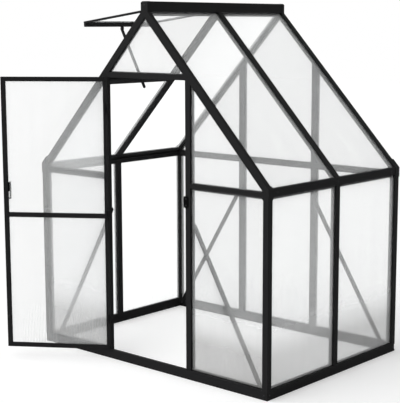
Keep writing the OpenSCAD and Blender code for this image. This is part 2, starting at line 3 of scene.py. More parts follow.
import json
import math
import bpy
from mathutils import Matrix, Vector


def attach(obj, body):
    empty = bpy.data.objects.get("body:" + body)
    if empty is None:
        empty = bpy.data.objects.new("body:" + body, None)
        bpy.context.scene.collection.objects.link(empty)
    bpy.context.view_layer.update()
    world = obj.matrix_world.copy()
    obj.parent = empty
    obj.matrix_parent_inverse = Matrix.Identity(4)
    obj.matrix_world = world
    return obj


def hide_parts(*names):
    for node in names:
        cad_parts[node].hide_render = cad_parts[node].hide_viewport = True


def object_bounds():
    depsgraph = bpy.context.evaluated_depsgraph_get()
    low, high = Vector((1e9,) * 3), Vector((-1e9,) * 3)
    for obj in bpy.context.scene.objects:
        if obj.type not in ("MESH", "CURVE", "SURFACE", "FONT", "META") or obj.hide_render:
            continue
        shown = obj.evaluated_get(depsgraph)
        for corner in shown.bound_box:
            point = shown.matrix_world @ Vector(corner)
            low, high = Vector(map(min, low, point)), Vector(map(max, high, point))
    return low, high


bl_info = {
    "name": "Walk-in greenhouse",
    "version": (1, 0, 0),
    "blender": (4, 5, 0),
    "location": "View3D > Sidebar > Greenhouse",
    "description": "Coated bars, fluted panes, strips, seals and fasteners on a greenhouse frame",
    "category": "Object",
}

import bmesh
import bpy
from mathutils import Euler, Matrix, Vector
from mathutils.geometry import intersect_line_line

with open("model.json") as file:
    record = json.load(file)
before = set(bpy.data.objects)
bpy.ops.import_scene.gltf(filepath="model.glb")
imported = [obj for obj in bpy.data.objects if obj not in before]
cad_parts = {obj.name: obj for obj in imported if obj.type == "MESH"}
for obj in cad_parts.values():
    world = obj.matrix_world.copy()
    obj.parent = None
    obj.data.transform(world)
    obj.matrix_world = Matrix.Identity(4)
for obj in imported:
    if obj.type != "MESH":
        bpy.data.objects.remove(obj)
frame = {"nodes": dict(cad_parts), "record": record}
cad_low, cad_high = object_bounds()

MM = 0.001

# Groups of nodes
DOOR_NODES = frame["record"]["behaviour"]["bodies"]["door"]
PANE_NODES = [name for name in frame["nodes"] if "pane" in name]
FITTING_NODES = ["door_catch", "door_handles"]
HINGE_NODES = ["hinge_brackets", "hinge_knuckles"]
OTHER_NODES = PANE_NODES + FITTING_NODES + HINGE_NODES
BAR_NODES = [name for name in frame["nodes"] if name not in OTHER_NODES]
GROOVED_PANES = ["door_panes", "vent_pane"]

# Finishes of the panes, each with its share of painted shade, and the heights between which the painted
# shade thins out: a grey painted low on the panes for the shaded floor inside the house
FAINTLY_SHADED_SHEET = ("twin_wall_sheet", 0.1)
SHADED_SHEETS = {
    "front_wall_panes": ("dusty_front_sheet", 1.0),
    "right_wall_panes": ("dusty_right_sheet", 0.8),
}
SHADE_FULL = 200 * MM
SHADE_GONE = 480 * MM

# Distances within which points count as one, and points as lying on a face
SAME_POINT = 0.01 * MM
ON_FACE = 0.5 * MM
SHARP = math.radians(20)

# Where the fasteners stand on the frame
SCREW_HEIGHT = 1.8 * MM
NUT_HEIGHT = 5 * MM
BASE_HOLLOW = 2 * MM
BASE_SCREW_INSET = 24 * MM
EAVE_HOLLOW = 1.5 * MM
EAVE_SCREW_RISE = 21.5 * MM
EAVE_SCREW_SHARES = (-0.9, 0, 0.9)
RIDGE_SCREW_DROP = 22 * MM
HINGE_PLATE = 3 * MM
HINGE_SCREW_INSET = 9 * MM
CATCH_SCREW_INSET = 16 * MM
BRACE_HALF = 14 * MM
BRACE_THICK = 3 * MM
STAY_HALF = 10.5 * MM

# Stage: floor, light and the photograph's view
FLOOR_HALF = 30.0
FLOOR_GLOW = 0.3
WORLD_LIGHT = 0.4
LIGHT_FROM = (-0.7, -1.0, 0.6)
LIGHT_SPREAD = math.radians(100)
LIGHT_STRENGTH = 3.2
CAMERA_PLACE = (4.5819, -5.2844, 2.0374)
CAMERA_HEADING = math.radians(41.827)
CAMERA_TILT = math.radians(90 - 8.907)
CAMERA_ROLL = math.radians(-0.167)
CAMERA_LENS = 99.74


# Settings that a user would change


class GreenhouseColours(bpy.types.PropertyGroup):
    """Colours of the finishes."""

    coat: bpy.props.FloatVectorProperty(
        name="Powder coat",
        description="Colour of the coated bars",
        subtype="COLOR",
        size=3,
        min=0,
        max=1,
        default=(0.0150, 0.0150, 0.0155),
    )
    fitting: bpy.props.FloatVectorProperty(
        name="Fittings",
        description="Colour of the moulded fittings",
        subtype="COLOR",
        size=3,
        min=0,
        max=1,
        default=(0.0015, 0.0015, 0.0016),
    )
    rubber: bpy.props.FloatVectorProperty(
        name="Seals",
        description="Colour of the rubber seals",
        subtype="COLOR",
        size=3,
        min=0,
        max=1,
        default=(0.0070, 0.0070, 0.0070),
    )
    steel: bpy.props.FloatVectorProperty(
        name="Fasteners",
        description="Colour of the blackened screws and nuts",
        subtype="COLOR",
        size=3,
        min=0,
        max=1,
        default=(0.0300, 0.0300, 0.0320),
    )
    sheet: bpy.props.FloatVectorProperty(
        name="Panes",
        description="Tint of the twin-wall sheet",
        subtype="COLOR",
        size=3,
        min=0,
        max=1,
        default=(0.97, 0.98, 0.98),
    )
    # Grey of the painted shade on the panes near the ground
    painted_shade: bpy.props.FloatVectorProperty(
        name="Painted shade",
        description="Colour of the dust on the panes near the ground",
        subtype="COLOR",
        size=3,
        min=0,
        max=1,
        default=(0.33, 0.33, 0.325),
    )
    floor: bpy.props.FloatVectorProperty(
        name="Floor",
        description="Colour of the floor",
        subtype="COLOR",
        size=3,
        min=0,
        max=1,
        default=(0.8, 0.8, 0.8),
    )


class GreenhouseSizes(bpy.types.PropertyGroup):
    """Sizes of what is added to the frame."""

    flute_pitch: bpy.props.FloatProperty(
        name="Flute pitch",
        description="Distance between the ribs of a twin-wall sheet",
        unit="LENGTH",
        min=4 * MM,
        max=30 * MM,
        default=10 * MM,
    )
    flute_sag: bpy.props.FloatProperty(
        name="Flute sag",
        description="How far a skin sinks in between two ribs",
        unit="LENGTH",
        min=0,
        max=1 * MM,
        default=0.1 * MM,
    )
    strip_width: bpy.props.FloatProperty(
        name="Strip width",
        description="Width of the strips that hold the panes from the inside",
        unit="LENGTH",
        min=4 * MM,
        max=20 * MM,
        default=16 * MM,
    )
    strip_depth: bpy.props.FloatProperty(
        name="Strip depth",
        description="Depth of those strips behind the panes",
        unit="LENGTH",
        min=3 * MM,
        max=18 * MM,
        default=17.5 * MM,
    )
    seal_radius: bpy.props.FloatProperty(
        name="Seal radius",
        description="Radius of the seals round the panes",
        unit="LENGTH",
        min=0.5 * MM,
        max=4 * MM,
        default=1.8 * MM,
    )
    catch_width: bpy.props.FloatProperty(
        name="Catch width",
        description="Width of the moulded plate over the door's catch",
        unit="LENGTH",
        min=30 * MM,
        max=45 * MM,
        default=39 * MM,
    )
    catch_cover: bpy.props.FloatProperty(
        name="Catch cover",
        description="Thickness of that plate",
        unit="LENGTH",
        min=1 * MM,
        max=3 * MM,
        default=2.5 * MM,
    )
    screw_radius: bpy.props.FloatProperty(
        name="Screw radius",
        description="Radius of the screw heads",
        unit="LENGTH",
        min=2 * MM,
        max=6 * MM,
        default=4 * MM,
    )
    nut_radius: bpy.props.FloatProperty(
        name="Nut radius",
        description="Radius of the hexagon nuts over their corners",
        unit="LENGTH",
        min=3 * MM,
        max=10 * MM,
        default=6.5 * MM,
    )
    edge_round: bpy.props.FloatProperty(
        name="Edge rounding",
        description="Rounding of the bars' edges",
        unit="LENGTH",
        min=0.1 * MM,
        max=3 * MM,
        default=0.8 * MM,
    )


# Node trees


class Value:
    """A socket that can be used in sums: each operator adds one Math node."""

    def __init__(self, tree, socket):
        self.tree = tree
        self.socket = socket

    def math(self, operation, *others):
        return self.tree.sum(operation, self, *others)

    def other(self, name):
        """Another output of the node that this value comes from."""
        return Value(self.tree, self.socket.node.outputs[name])

    def __add__(self, other):
        return self.tree.sum("ADD", self, other)

    def __radd__(self, other):
        return self.tree.sum("ADD", other, self)

    def __sub__(self, other):
        return self.tree.sum("SUBTRACT", self, other)

    def __rsub__(self, other):
        return self.tree.sum("SUBTRACT", other, self)

    def __mul__(self, other):
        return self.tree.sum("MULTIPLY", self, other)

    def __rmul__(self, other):
        return self.tree.sum("MULTIPLY", other, self)

    def __truediv__(self, other):
        return self.tree.sum("DIVIDE", self, other)


class Tree:
    """A node tree that is written from start to end."""

    def __init__(self, tree):
        self.tree = tree
        tree.nodes.clear()

    def node(self, kind, settings=None, inputs=None, output=0):
        """Adds a node: its settings come first, then the values or links of its sockets."""
        node = self.tree.nodes.new(kind)
        for name, value in (settings or {}).items():
            setattr(node, name, value)
        for name, value in (inputs or {}).items():
            self.feed(node.inputs[name], value)
        return Value(self, node.outputs[output]) if node.outputs else None

    def feed(self, socket, value):
        if isinstance(value, list):
            for one in value:
                self.feed(socket, one)
        elif isinstance(value, Value):
            self.tree.links.new(value.socket, socket)
        else:
            socket.default_value = value

    def sum(self, operation, *values):
        return self.node("ShaderNodeMath", {"operation": operation}, dict(enumerate(values)))

    def blend(self, share, first, second):
        """Mixes two colours."""
        settings = {"data_type": "RGBA"}
        return self.node("ShaderNodeMix", settings, {0: share, 6: first, 7: second}, output=2)


class Paint(Tree):
    """The node tree of a new material."""

    def __init__(self, name):
        self.material = bpy.data.materials.new(name)
        self.material.use_nodes = True
        super().__init__(self.material.node_tree)

    def place(self):
        return self.node("ShaderNodeTexCoord", output="Object")

    def noise(self, where, scale, detail=2.0):
        inputs = {"Vector": where, "Scale": scale, "Detail": detail}
        return self.node("ShaderNodeTexNoise", None, inputs)

    def bump(self, height, strength, distance):
        inputs = {"Height": height, "Strength": strength, "Distance": distance}
        return self.node("ShaderNodeBump", None, inputs)

    def finish(self, shader):
        self.node("ShaderNodeOutputMaterial", None, {"Surface": shader})
        return self.material


def rgba(colour, by=1.0):
    """A colour with full alpha, made lighter or darker by a factor."""
    return (*(min(1.0, part * by) for part in colour), 1.0)


# Finishes


def coat_finish(name, colour, rough, peel):
    """Satin powder coat: faint clouds of tone and gloss over a fine orange peel."""
    paint = Paint(name)
    place = paint.place()
    cloud = paint.noise(place, 7.0, 4.0)
    grain = paint.noise(place, 900.0, 3.0)
    speckle = paint.noise(place, 2600.0, 1.0)
    tone = paint.blend(cloud * 0.6 + speckle * 0.4, rgba(colour, 0.75), rgba(colour, 1.3))
    shader = paint.node("ShaderNodeBsdfPrincipled", None, {
        "Base Color": tone,
        "Roughness": rough - 0.08 + cloud * 0.16,
        "Specular IOR Level": 0.02,
        "Normal": paint.bump(grain, 0.25, peel),
    })
    return paint.finish(shader)


def sheet_finish(name, colour, shade_colour, painted_shade):
    """Frosted twin-wall sheet: milky, with fine ribs, soft streaks and painted shade near the ground, a
    grey that stands for the shaded floor inside.
    """
    paint = Paint(name)
    # Painted shade: the sheet grows greyer and cloudier towards the ground, standing in for the shaded
    # floor inside the house
    height = paint.node("ShaderNodeSeparateXYZ", None, {"Vector": paint.place()}, output="Z")
    low = paint.node("ShaderNodeMapRange", {"interpolation_type": "SMOOTHSTEP"}, {
        "Value": height,
        "From Min": SHADE_FULL,
        "From Max": SHADE_GONE,
        "To Min": painted_shade,
        "To Max": 0.0,
    })
    along = paint.node("ShaderNodeUVMap", {"uv_map": "flutes"})
    turns = paint.node("ShaderNodeSeparateXYZ", None, {"Vector": along}, output="X")
    rib = ((turns * math.tau).math("COSINE") * 0.5 + 0.5).math("POWER", 8.0)
    drawn = paint.node("ShaderNodeMapping", None, {"Vector": along, "Scale": (0.08, 0.5, 1.0)})
    streak = paint.noise(drawn, 1.0)
    # The skin turns to the painted shade's grey near the ground
    tint = paint.blend(low, rgba(colour), rgba(shade_colour))
    clear = paint.node("ShaderNodeBsdfTransparent", None, {"Color": rgba((1, 1, 1))})
    milk = paint.node("ShaderNodeBsdfTranslucent", None, {"Color": rgba(colour)})
    skin = paint.node("ShaderNodeBsdfPrincipled", None, {
        "Base Color": tint,
        "Roughness": 0.3 + streak * 0.1,
    })
    # Near the ground more of the sheet is grey skin and thicker veil: painted shade
    cloudy = paint.node("ShaderNodeMixShader", None, {0: 0.2 + low * 0.7, 1: milk, 2: skin})
    veil = 0.19 + streak * 0.05 + rib * 0.025 + low * 0.21
    return paint.finish(paint.node("ShaderNodeMixShader", None, {0: veil, 1: clear, 2: cloudy}))


def rubber_finish(name, colour):
    """Matt rubber with a fine, even grain."""
    paint = Paint(name)
    grain = paint.noise(paint.place(), 1500.0, 3.0)
    return paint.finish(paint.node("ShaderNodeBsdfPrincipled", None, {
        "Base Color": paint.blend(grain, rgba(colour, 0.7), rgba(colour, 1.3)),
        "Roughness": 0.8 + grain * 0.15,
        "Specular IOR Level": 0.1,
        "Normal": paint.bump(grain, 0.2, 0.1 * MM),
    }))


def steel_finish(name, colour):
    """Blackened steel, a little rubbed."""
    paint = Paint(name)
    rubbed = paint.noise(paint.place(), 400.0, 4.0)
    return paint.finish(paint.node("ShaderNodeBsdfPrincipled", None, {
        "Base Color": paint.blend(rubbed, rgba(colour, 0.6), rgba(colour, 1.6)),
        "Metallic": 0.6 + rubbed * 0.3,
        "Roughness": 0.3 + rubbed * 0.25,
    }))


def floor_finish(name, colour, lift):
    """Pale floor that reads as white where no shadow falls on it."""
    paint = Paint(name)
    seen = seen_directly(paint)
    mottle = paint.noise(paint.place(), 3.0)
    matt = paint.node("ShaderNodeBsdfPrincipled", None, {
        "Base Color": paint.blend(mottle, rgba(colour, 0.98), rgba(colour, 1.02)),
        "Roughness": 1.0,
        "Specular IOR Level": 0.0,
    })
    glow = paint.node("ShaderNodeEmission", None, {"Strength": seen * lift})
    return paint.finish(paint.node("ShaderNodeAddShader", None, {0: matt, 1: glow}))


def seen_directly(tree):
    """1 for what the camera sees, also in a mirror or through a pane, and 0 for light."""
    kinds = [tree.node("ShaderNodeLightPath", output=name) for name in (
        "Is Camera Ray", "Is Glossy Ray", "Is Transmission Ray",
    )]
    return kinds[0].math("MAXIMUM", kinds[1]).math("MAXIMUM", kinds[2])


# Meshes


def new_piece(name, mesh, body):
    """Links a mesh as a piece that moves with a body."""
    piece = bpy.data.objects.new(name, mesh)
    bpy.context.scene.collection.objects.link(piece)
    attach(piece, body)
    return piece


def made_by_nodes(tree, sockets, values, start=None):
    """The plain mesh that a geometry tree makes of a mesh with these values of its named inputs."""
    holder = bpy.data.objects.new(tree.name, start or bpy.data.meshes.new(tree.name))
    bpy.context.scene.collection.objects.link(holder)
    modifier = holder.modifiers.new("nodes", "NODES")
    modifier.node_group = tree
    for name, value in values.items():
        modifier[sockets[name]] = value
    holder.update_tag()
    depsgraph = bpy.context.evaluated_depsgraph_get()
    mesh = bpy.data.meshes.new_from_object(holder.evaluated_get(depsgraph))
    bpy.data.objects.remove(holder)
    return mesh


def geometry_tree(name, inputs):
    """An empty geometry tree, with its named inputs and their identifiers."""
    group = bpy.data.node_groups.new(name, "GeometryNodeTree")
    tree = Tree(group)
    sockets = {}
    for label, kind in inputs.items():
        socket = group.interface.new_socket(label, in_out="INPUT", socket_type="NodeSocket" + kind)
        sockets[label] = socket.identifier
    group.interface.new_socket("Geometry", in_out="OUTPUT", socket_type="NodeSocketGeometry")
    given = {label: tree.node("NodeGroupInput", output=label) for label in sockets}
    return tree, sockets, given


def end_tree(tree, geometry, finish):
    """Turns instances into plain mesh, sets the finish and hands the result out."""
    plain = tree.node("GeometryNodeRealizeInstances", None, {"Geometry": geometry})
    painted = tree.node("GeometryNodeSetMaterial", None, {"Geometry": plain, "Material": finish})
    tree.node("NodeGroupOutput", None, {"Geometry": painted})
    return tree.tree


STEPS_PER_FLUTE = 4


def fluted_sheet_tree():
    """Sheet in X and Y whose two skins sink in a little between the ribs."""
    tree, sockets, given = geometry_tree("fluted_sheet", {
        "Width": "Float",
        "Height": "Float",
        "Thickness": "Float",
        "Flutes": "Int",
        "Sag": "Float",
        "Finish": "Material",
    })
    columns = given["Flutes"] * STEPS_PER_FLUTE + 1
    skin = tree.node("GeometryNodeMeshGrid", None, {
        "Size X": given["Width"],
        "Size Y": given["Height"],
        "Vertices X": columns,
        "Vertices Y": 2,
    })
    below = tree.node("GeometryNodeFlipFaces", None, {"Mesh": skin})
    above = tree.node("GeometryNodeExtrudeMesh", None, {
        "Mesh": skin,
        "Offset": tree.node("ShaderNodeCombineXYZ", None, {"Z": given["Thickness"]}),
        "Offset Scale": 1.0,
        "Individual": False,
    })
    joined = tree.node("GeometryNodeJoinGeometry", None, {"Geometry": [below, above]})
    merged = {"Geometry": joined, "Distance": SAME_POINT}
    closed = tree.node("GeometryNodeMergeByDistance", None, merged)

    position = tree.node("GeometryNodeInputPosition")
    across = tree.node("ShaderNodeSeparateXYZ", None, {"Vector": position}, output="X")
    height = tree.node("ShaderNodeSeparateXYZ", None, {"Vector": position}, output="Z")
    turns = (across / given["Width"] + 0.5) * given["Flutes"]
    sunk = (1 - (turns * math.tau).math("COSINE")) * given["Sag"] * 0.5
    level = height / given["Thickness"] - 0.5
    moved = tree.node("ShaderNodeCombineXYZ", None, {
        "Z": 0 - given["Thickness"] * 0.5 - sunk * level * 2,
    })
    shaped = tree.node("GeometryNodeSetPosition", None, {"Geometry": closed, "Offset": moved})

    length = tree.node("ShaderNodeSeparateXYZ", None, {"Vector": position}, output="Y")
    mapped = tree.node(
        "GeometryNodeStoreNamedAttribute",
        {"data_type": "FLOAT2", "domain": "CORNER"},
        {
            "Geometry": shaped,
            "Name": "flutes",
            "Value": tree.node("ShaderNodeCombineXYZ", None, {"X": turns, "Y": length}),
        },
    )
    return end_tree(tree, mapped, given["Finish"]), sockets


BEAD_SIDES = 8


def bead_tree():
    """Round bead along every edge of a wire mesh."""
    tree, sockets, given = geometry_tree("bead", {
        "Geometry": "Geometry",
        "Radius": "Float",
        "Finish": "Material",
    })
    bead = tree.node("GeometryNodeCurveToMesh", None, {
        "Curve": tree.node("GeometryNodeMeshToCurve", None, {"Mesh": given["Geometry"]}),
        "Profile Curve": tree.node("GeometryNodeCurvePrimitiveCircle", None, {
            "Resolution": BEAD_SIDES,
            "Radius": given["Radius"],
        }),
        "Fill Caps": True,
    })
    return end_tree(tree, bead, given["Finish"]), sockets


def on_points(tree, points, shape):
    """The shape on every point of a mesh, with its Z along the point's facing."""
    vector = {"data_type": "FLOAT_VECTOR"}
    facing = tree.node("GeometryNodeInputNamedAttribute", vector, {"Name": "facing"})
    turned = tree.node("FunctionNodeAlignRotationToVector", {"axis": "Z"}, {"Vector": facing})
    inputs = {"Points": points, "Instance": shape, "Rotation": turned}
    return tree.node("GeometryNodeInstanceOnPoints", None, inputs)


def screw_tree():
    """Screw head with sloping sides and a round socket, on every point of a mesh."""
    tree, sockets, given = geometry_tree("socket_screws", {
        "Geometry": "Geometry",
        "Radius": "Float",
        "Height": "Float",
        "Finish": "Material",
    })
    head = tree.node("GeometryNodeMeshCone", {"fill_type": "NGON"}, {
        "Vertices": 16,
        "Radius Top": given["Radius"] * 0.75,
        "Radius Bottom": given["Radius"],
        "Depth": given["Height"],
    })
    rim = tree.node("GeometryNodeExtrudeMesh", None, {
        "Mesh": head,
        "Selection": head.other("Top"),
        "Offset Scale": 0.0,
    })
    ring = tree.node("GeometryNodeScaleElements", None, {
        "Geometry": rim,
        "Selection": rim.other("Top"),
        "Scale": 0.6,
    })
    socket = tree.node("GeometryNodeExtrudeMesh", None, {
        "Mesh": ring,
        "Selection": rim.other("Top"),
        "Offset Scale": given["Height"] * -0.6,
    })
    return end_tree(tree, on_points(tree, given["Geometry"], socket), given["Finish"]), sockets


def nut_tree():
    """Bolt end with a hexagon nut on a washer, on every point of a mesh."""
    tree, sockets, given = geometry_tree("nuts", {
        "Geometry": "Geometry",
        "Radius": "Float",
        "Height": "Float",
        "Finish": "Material",
    })
    washer, nut, bolt = (24, 1.35, 1.35, 0.25), (6, 1.0, 0.96, 1.0), (12, 0.5, 0.42, 1.5)
    parts = [
        tree.node("GeometryNodeMeshCone", {"fill_type": "NGON"}, {
            "Vertices": sides,
            "Radius Top": given["Radius"] * above,
            "Radius Bottom": given["Radius"] * below,
            "Depth": given["Height"] * high,
        })
        for sides, below, above, high in (washer, nut, bolt)
    ]
    whole = tree.node("GeometryNodeJoinGeometry", None, {"Geometry": parts})
    return end_tree(tree, on_points(tree, given["Geometry"], whole), given["Finish"]), sockets


def islands(bm):
    """The separate solids of a mesh, each as a list of faces."""
    left = set(bm.faces)
    found = []
    for first in bm.faces:
        if first not in left:
            continue
        left.remove(first)
        reached = [first]
        for face in reached:
            for edge in face.edges:
                near = [other for other in edge.link_faces if other in left]
                left.difference_update(near)
                reached.extend(near)
        found.append(reached)
    return found


def welded(node):
    """A copy of a CAD node's mesh whose doubles are merged."""
    bm = bmesh.new()
    bm.from_mesh(frame["nodes"][node].data)
    bmesh.ops.remove_doubles(bm, verts=bm.verts, dist=SAME_POINT)
    bm.normal_update()
    return bm


def solid_boxes(node):
    """The lowest and highest corner of each solid of a CAD node."""
    bm = welded(node)
    boxes = []
    for faces in islands(bm):
        along_axes = list(zip(*(vert.co for face in faces for vert in face.verts)))
        boxes.append([Vector([pick(values) for values in along_axes]) for pick in (min, max)])
    bm.free()
    return boxes


def sharp_edges(edges):
    """The two ends of every edge at which the surface turns."""
    return [
        [vert.co.copy() for vert in edge.verts] for edge in edges if edge.calc_face_angle(0) > SHARP
    ]


class Sheet:
    """One flat pane: its axes across and along the flutes, its size, and the faces that cut it."""

    def __init__(self, faces):
        areas = {}
        for face in faces:
            key = tuple(round(part, 3) for part in face.normal)
            areas[key] = areas.get(key, 0) + face.calc_area()
        normal = Vector(max(areas, key=areas.get))
        corners = {vert for face in faces for vert in face.verts}
        broad = [face for face in faces if face.normal.dot(normal) > 0.999]
        self.normal = sum((face.normal for face in broad), Vector()).normalized()
        up = Vector((0, 0, 1))
        self.along = (up - self.normal * up.dot(self.normal)).normalized()
        self.across = self.along.cross(self.normal)
        axes = (self.across, self.along, self.normal)
        spans = [[corner.co.dot(axis) for corner in corners] for axis in axes]
        self.size = [max(span) - min(span) for span in spans]
        middles = [(max(span) + min(span)) / 2 for span in spans]
        self.centre = sum((axis * middle for axis, middle in zip(axes, middles)), Vector())
        self.cuts = [
            (face.calc_center_median(), face.normal.copy())
            for face in faces
            if all(abs(face.normal.dot(axis)) < 0.99 for axis in axes)
        ]
        self.rim = sharp_edges(dict.fromkeys(edge for face in faces for edge in face.edges))

    def matrix(self):
        """The place and turn of the pane, from flat at the origin."""
        turned = Matrix((self.across, self.along, self.normal)).transposed()
        return Matrix.Translation(self.centre) @ turned.to_4x4()

    def inward(self):
        """1 where the pane's normal points into the house, or else -1."""
        middle = (cad_low + cad_high) / 2
        return 1 if self.normal.dot(Vector((0, 0, middle.z)) - self.centre) > 0 else -1

    def middle(self, face):
        """The middle of one face of the pane."""
        return self.centre + self.normal * (face * self.size[2] / 2)

    def corners(self, face):
        """The corners of one face of the pane, in order round it."""
        middle = self.middle(face)
        found = []
        for point in (end for edge in self.rim for end in edge):
            on_face = abs((point - middle).dot(self.normal)) < ON_FACE
            if on_face and all((point - other).length > ON_FACE for other in found):
                found.append(point)
        return sorted(found, key=lambda point: math.atan2(
            (point - middle).dot(self.along), (point - middle).dot(self.across)
        ))

    def bounds(self):
        """A point and the outward normal of each plane that bounds the pane."""
        sides = [
            (self.centre + axis * (side * size / 2), axis * side)
            for axis, size in zip((self.across, self.along), self.size)
            for side in (-1, 1)
        ]
        return sides + self.cuts

    def within(self, ends, face, inset):
        """The stretch of an edge that lies on one face of the pane, off its rim by an inset, or None."""
        middle = self.middle(face)
        if any(abs((end - middle).dot(self.normal)) > ON_FACE for end in ends):
            return None
        start, stop = 0.0, 1.0
        for point, outward in self.bounds():
            first, last = [(end - point).dot(outward) + inset for end in ends]
            if first > 0 and last > 0:
                return None
            if first > 0:
                start = max(start, first / (first - last))
            elif last > 0:
                stop = min(stop, first / (first - last))
        if stop <= start:
            return None
        return [ends[0].lerp(ends[1], share) for share in (start, stop)]


def sheets_of(node):
    """The panes of a CAD node."""
    bm = welded(node)
    found = [Sheet(faces) for faces in islands(bm)]
    bm.free()
    return found


def cut_to(bm, point, normal):
    """Cuts a closed mesh by a plane, drops what lies outside and closes the cut."""
    geometry = bm.verts[:] + bm.edges[:] + bm.faces[:]
    cut = bmesh.ops.bisect_plane(
        bm, geom=geometry, plane_co=point, plane_no=normal, clear_outer=True, dist=0.001 * MM
    )
    rim = [part for part in cut["geom_cut"] if isinstance(part, bmesh.types.BMEdge)]
    bmesh.ops.holes_fill(bm, edges=rim, sides=0)


def merge_triangles(node):
    """Joins the loose triangles of a CAD node into flat faces."""
    weld = node.modifiers.new("weld", "WELD")
    weld.merge_threshold = SAME_POINT
    merge = node.modifiers.new("flat faces", "DECIMATE")
    merge.decimate_type = "DISSOLVE"
    merge.angle_limit = math.radians(1)


def soften(piece, radius):
    """Rounds the edges of a piece."""
    bevel = piece.modifiers.new("soft edges", "BEVEL")
    bevel.width = radius
    bevel.segments = 2
    bevel.limit_method = "ANGLE"
    bevel.angle_limit = math.radians(40)
    bevel.harden_normals = True


def without_short_edges(corners, least):
    """The corners of an outline whose short edges give way to their neighbours, drawn on to meet."""
    count = len(corners)
    found = []
    for i, corner in enumerate(corners):
        before, after, last = corners[i - 1], corners[(i + 1) % count], corners[(i + 2) % count]
        if (after - corner).length < least:
            found.append(intersect_line_line(before, corner, after, last)[0])
        elif (corner - before).length >= least:
            found.append(corner)
    return found


def add_ring(bm, corners, centre, normal, width, depth):
    """Adds a closed ring of strips just inside a convex outline, as deep along a normal as it says."""
    count = len(corners)
    inner = []
    for i, corner in enumerate(corners):
        sides = [(corner - corners[i - 1]), (corners[(i + 1) % count] - corner)]
        inwards = [normal.cross(side).normalized() for side in sides]
        inwards = [way if way.dot(centre - corner) > 0 else -way for way in inwards]
        reach = width / (1 + inwards[0].dot(inwards[1]))
        inner.append(corner + (inwards[0] + inwards[1]) * reach)
    lift = normal * depth
    loops = [corners, inner]
    loops += [[point + lift for point in loop] for loop in (inner, corners)]
    verts = [[bm.verts.new(point) for point in loop] for loop in loops]
    faces = []
    for here, there in zip(verts, verts[1:] + verts[:1]):
        for i in range(count):
            j = (i + 1) % count
            faces.append(bm.faces.new((here[i], here[j], there[j], there[i])))
    bmesh.ops.recalc_face_normals(bm, faces=faces)


def rounded_outline(width, height, radius):
    """Points round a rectangle with round corners, about the middle."""
    steps = 8
    points = []
    for turn, (x, z) in enumerate(((1, 1), (-1, 1), (-1, -1), (1, -1))):
        for step in range(steps + 1):
            angle = (turn + step / steps) * math.pi / 2
            points.append((
                x * (width / 2 - radius) + radius * math.cos(angle),
                z * (height / 2 - radius) + radius * math.sin(angle),
            ))
    return points


# Operators


class GREENHOUSE_OT_coat(bpy.types.Operator):
    """Coat the bars and fittings, and soften their edges"""

    bl_idname = "greenhouse.coat"
    bl_label = "Coat the bars"

    def execute(self, context):
        colours = context.scene.greenhouse_colours
        bars = coat_finish("powder_coat", colours.coat, 0.48, 0.05 * MM)
        fittings = coat_finish("moulded_fitting", colours.fitting, 0.6, 0.08 * MM)
        for name in BAR_NODES + HINGE_NODES + FITTING_NODES:
            node = frame["nodes"][name]
            finish = fittings if name in FITTING_NODES else bars
            node.data.materials.clear()
            node.data.materials.append(finish)
            merge_triangles(node)
            soften(node, context.scene.greenhouse_sizes.edge_round)
        return {"FINISHED"}


class GREENHOUSE_OT_panes(bpy.types.Operator):
    """Glaze every opening with fluted twin-wall sheet"""

    bl_idname = "greenhouse.panes"
    bl_label = "Glaze"

    def execute(self, context):
        colours = context.scene.greenhouse_colours
        # One finish for each share of painted shade near the ground
        finishes = {
            kind: sheet_finish(kind, colours.sheet, colours.painted_shade, painted_shade)
            for kind, painted_shade in (FAINTLY_SHADED_SHEET, *SHADED_SHEETS.values())
        }
        tree, sockets = fluted_sheet_tree()
        sizes = context.scene.greenhouse_sizes
        for name in PANE_NODES:
            finish = finishes[SHADED_SHEETS.get(name, FAINTLY_SHADED_SHEET)[0]]
            whole = bmesh.new()
            for sheet in sheets_of(name):
                width, height, thickness = sheet.size
                mesh = made_by_nodes(tree, sockets, {
                    "Width": width,
                    "Height": height,
                    "Thickness": thickness,
                    "Flutes": round(width / sizes.flute_pitch),
                    "Sag": sizes.flute_sag,
                    "Finish": finish,
                })
                mesh.transform(sheet.matrix())
                whole.from_mesh(self.trimmed(mesh, sheet.cuts))
            mesh = bpy.data.meshes.new("fluted_" + name)
            whole.to_mesh(mesh)
            whole.free()
            mesh.materials.append(finish)
            mesh.shade_smooth()
            mesh.set_sharp_from_angle(angle=math.radians(30))
            body = "door" if name in DOOR_NODES else "frame"
            piece = new_piece("fluted_" + name, mesh, body)
            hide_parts(name)
        return {"FINISHED"}

    def trimmed(self, mesh, cuts):
        """The mesh of a pane, cut along its sloping edges."""
        if cuts:
            bm = bmesh.new()
            bm.from_mesh(mesh)
            for point, normal in cuts:
                cut_to(bm, point, normal)
            bm.to_mesh(mesh)
            bm.free()
        return mesh


class GREENHOUSE_OT_strips(bpy.types.Operator):
    """Fit the strips that hold the panes of the walls and the roof from the inside"""

    bl_idname = "greenhouse.strips"
    bl_label = "Fit the inner strips"

    def execute(self, context):
        sizes = context.scene.greenhouse_sizes
        for name in PANE_NODES:
            if name in GROOVED_PANES:
                continue
            bm = bmesh.new()
            for sheet in sheets_of(name):
                face = sheet.inward()
                corners = without_short_edges(sheet.corners(face), 2 * sizes.strip_width)
                centre, normal = sheet.middle(face), sheet.normal * face
                add_ring(bm, corners, centre, normal, sizes.strip_width, sizes.strip_depth)
            strips = name.replace("panes", "strips")
            mesh = bpy.data.meshes.new(strips)
            bm.to_mesh(mesh)
            bm.free()
            mesh.materials.append(bpy.data.materials["powder_coat"])
            soften(new_piece(strips, mesh, "frame"), sizes.edge_round)
        return {"FINISHED"}


